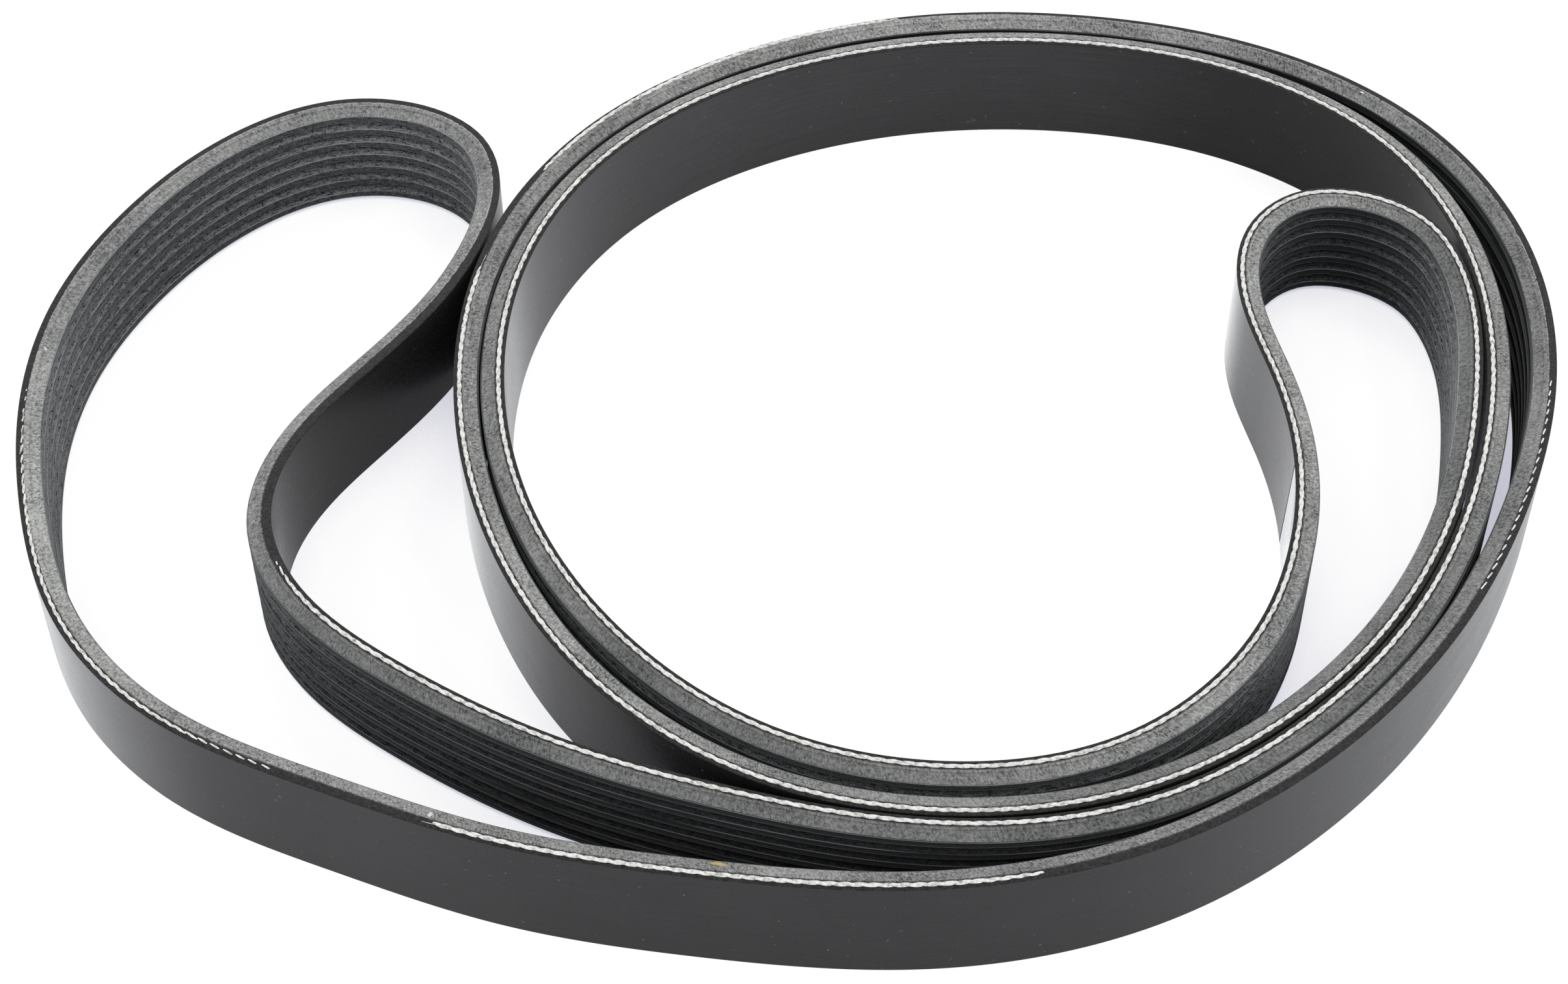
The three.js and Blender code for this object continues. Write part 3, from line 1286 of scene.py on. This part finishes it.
        def run_map(step: int, side: int) -> Pair:
            """Measures along the filament and round it."""
            return (start + length * step / steps) * MM, side / sides

        uv_maps = {"run": run_map, "facing": lambda step, side: (MM, 0.0)}
        Sheet(steps, sides, place, uv_maps).lay(shape)

    def build(self) -> Piece:
        """Makes every stretch of the cord that shows, with its loose filaments.

        Returns:
            The cord as one piece.
        """
        shape = bmesh.new()
        for run in self.share.raised_runs():
            for ply in range(2):
                self.lay_ply(shape, run, ply)
        number = 0
        for first, last, count in self.filament_runs:
            start, end = self.line.distance_of(first), self.line.distance_of(last)
            for index in range(count):
                self.lay_filament(shape, start + (end - start) * index / count, number)
                number += 1
        bmesh.ops.remove_doubles(shape, verts=shape.verts, dist=MERGE_DISTANCE)
        bmesh.ops.holes_fill(shape, edges=[edge for edge in shape.edges if edge.is_boundary], sides=0)
        return finished_piece("tension_cord", shape, [CordFinish().material()])


@dataclass(frozen=True)
class Studio:
    """Camera, light and floor, in the photograph's view."""

    frame_width: float = 2410.0
    focal_pixels: float = 5000.0
    sensor_width: float = 36.0
    clip_start: float = 0.01
    clip_end: float = 50.0
    pitch: float = 49.4
    roll: float = -0.35
    distance: float = 640.0
    coil_to_foot: Pair = (-46.0, -424.0)
    overhead_strength: float = 1.35
    wall_gain: float = 0.9
    wall_top: float = 0.9
    floor_strength: float = 1.05
    floor_card: Colour = (0.84, 0.86, 0.9)
    floor_glow: float = 0.88
    glossy_glow: float = 0.22
    glossy_gain: float = 1.2
    floor_half: float = 3.0
    shade_reach: float = 0.04
    shade_samples: int = 8
    deep_shade: float = 0.1
    open_floor: float = 0.4
    shade_colour: Colour = (0.56, 0.56, 0.66)

    def camera(self, coil_centre: Vector) -> Piece:
        """Makes the camera.

        Args:
            coil_centre: Centre of the coil in the part's frame, in millimetres.

        Returns:
            The camera's object.
        """
        pitch, roll = math.radians(self.pitch), math.radians(self.roll)
        ahead = Vector((0.0, math.cos(pitch), -math.sin(pitch)))
        level_right = Vector((1.0, 0.0, 0.0))
        level_up = level_right.cross(ahead)
        right = level_right * math.cos(roll) + level_up * math.sin(roll)
        up = level_up * math.cos(roll) - level_right * math.sin(roll)
        foot = coil_centre + Vector(self.coil_to_foot)
        data = bpy.data.cameras.new("photo_view")
        data.sensor_width = self.sensor_width
        data.lens = self.focal_pixels / self.frame_width * self.sensor_width
        data.clip_start, data.clip_end = self.clip_start, self.clip_end
        camera = bpy.data.objects.new("photo_view", data)
        bpy.context.collection.objects.link(camera)
        turned = Matrix((right, up, -ahead)).transposed().to_4x4()
        place = Vector((foot.x, foot.y, self.distance * math.sin(pitch))) * MM
        camera.matrix_world = Matrix.Translation(place) @ turned
        bpy.context.scene.camera = camera
        return camera

    def light(self) -> None:
        """Lights the scene with a pale room that is brighter towards its walls than overhead."""
        world = bpy.data.worlds.new("pale_studio")
        world.use_nodes = True
        graph = Graph("", world.node_tree)
        direction = graph.node("TexCoord").outputs["Generated"]
        rise = Signal(graph, graph.node("SeparateXYZ", {0: direction}).outputs[2])
        strength = self.overhead_strength + self.wall_gain * (1 - abs(rise).step(0.0, self.wall_top))
        seen = Signal(graph, graph.node("LightPath").outputs["Is Camera Ray"])
        shown = strength * (1 - seen) + seen
        light = graph.node("Background", {"Color": (*WHITE, 1.0), "Strength": shown})
        graph.node("OutputWorld", {0: light.outputs[0]})
        bpy.context.scene.world = world

    def floor(self) -> Piece:
        """Makes the white floor, which stays white in the picture and keeps a faint shadow.

        Returns:
            The floor's object.
        """
        shape = bmesh.new()
        bmesh.ops.create_grid(shape, x_segments=1, y_segments=1, size=self.floor_half)
        graph = Graph("white_floor")
        path = graph.node("LightPath")
        seen = Signal(graph, path.outputs["Is Camera Ray"])
        mirrored = Signal(graph, path.outputs["Is Glossy Ray"])
        glow = self.floor_strength + mirrored * self.glossy_gain
        shade = graph.node("AmbientOcclusion", {"Distance": self.shade_reach}, samples=self.shade_samples)
        open_sky = Signal(graph, shade.outputs["AO"]).step(self.deep_shade, self.open_floor)
        card = graph.node("BsdfDiffuse", {"Color": (*self.floor_card, 1.0)})
        colour = graph.blend(open_sky, self.shade_colour, WHITE)
        white = graph.node("Emission", {"Color": colour, "Strength": glow})
        share = seen * self.floor_glow + mirrored * self.glossy_glow
        shaders = {0: share, 1: card.outputs[0], 2: white.outputs[0]}
        mixed = graph.node("MixShader", shaders)
        graph.node("OutputMaterial", {0: mixed.outputs[0]})
        floor = finished_piece("floor", shape, [graph.material])
        return floor


def main() -> None:
    """Builds the camera, the belt and its cord, and reports each piece."""
    logging.basicConfig(level=logging.INFO, format="%(message)s")
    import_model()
    lowest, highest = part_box("ribbed_belt")
    middle = (Vector(lowest) + Vector(highest)) / 2 / MM

    section = BeltSection()
    route = BeltRoute(thickness=section.thickness)
    line = BeltLine(route, Vector((middle.x, middle.y)))
    coil_centre = line.places[0].point - route.points()[0]

    studio = Studio()
    studio.camera(coil_centre)
    studio.light()
    studio.floor()

    belt = RibbedBelt(section, line).build()
    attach(belt, "root")
    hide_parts("ribbed_belt")
    cord = TensionCord(line, section.width).build()
    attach(cord, "root")
    for piece in (belt, cord):
        log.info("%s: %d faces", piece.name, len(piece.data.polygons))
    log.info("belt length along its back: %.0f mm", line.length)

    view = bpy.context.scene.view_settings
    view.view_transform = "Standard"


if __name__ == "__main__":
    main()
